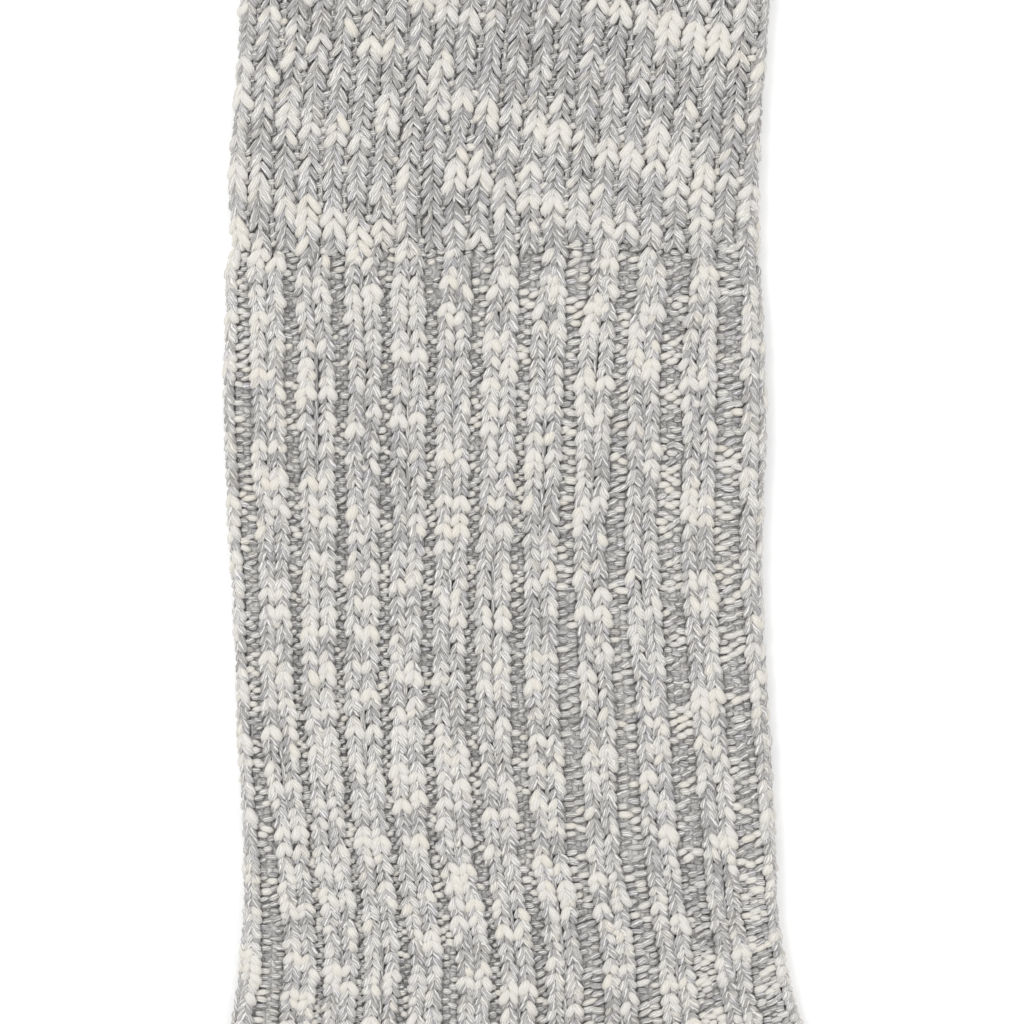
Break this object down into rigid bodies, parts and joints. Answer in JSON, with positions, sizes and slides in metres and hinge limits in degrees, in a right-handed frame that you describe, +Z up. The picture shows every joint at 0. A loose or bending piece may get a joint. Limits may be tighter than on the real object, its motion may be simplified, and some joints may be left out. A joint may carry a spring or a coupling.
{
  "type": "sock",
  "caption": "Ribbed crew sock in marled yarn, laid flat on its side: close-ribbed cuff, wide-ribbed leg and instep, plain heel, sole and toe.",
  "frame": {"origin": "centre of the sock's bounding box, on the surface that it lies on", "axes": "+Y along the leg towards the cuff, +X towards the toe side, +Z up from the surface"},
  "size_m": [0.2056, 0.3326, 0.0054],
  "materials": {
    "marled_yarn": "soft matte knit of a twisted grey and white yarn with thick cream slubs, slightly fuzzy"
  },
  "bodies": {
    "root": {"cuff": "marled_yarn", "leg": "marled_yarn", "heel": "marled_yarn", "foot": "marled_yarn", "toe": "marled_yarn"}
  },
  "joints": []
}
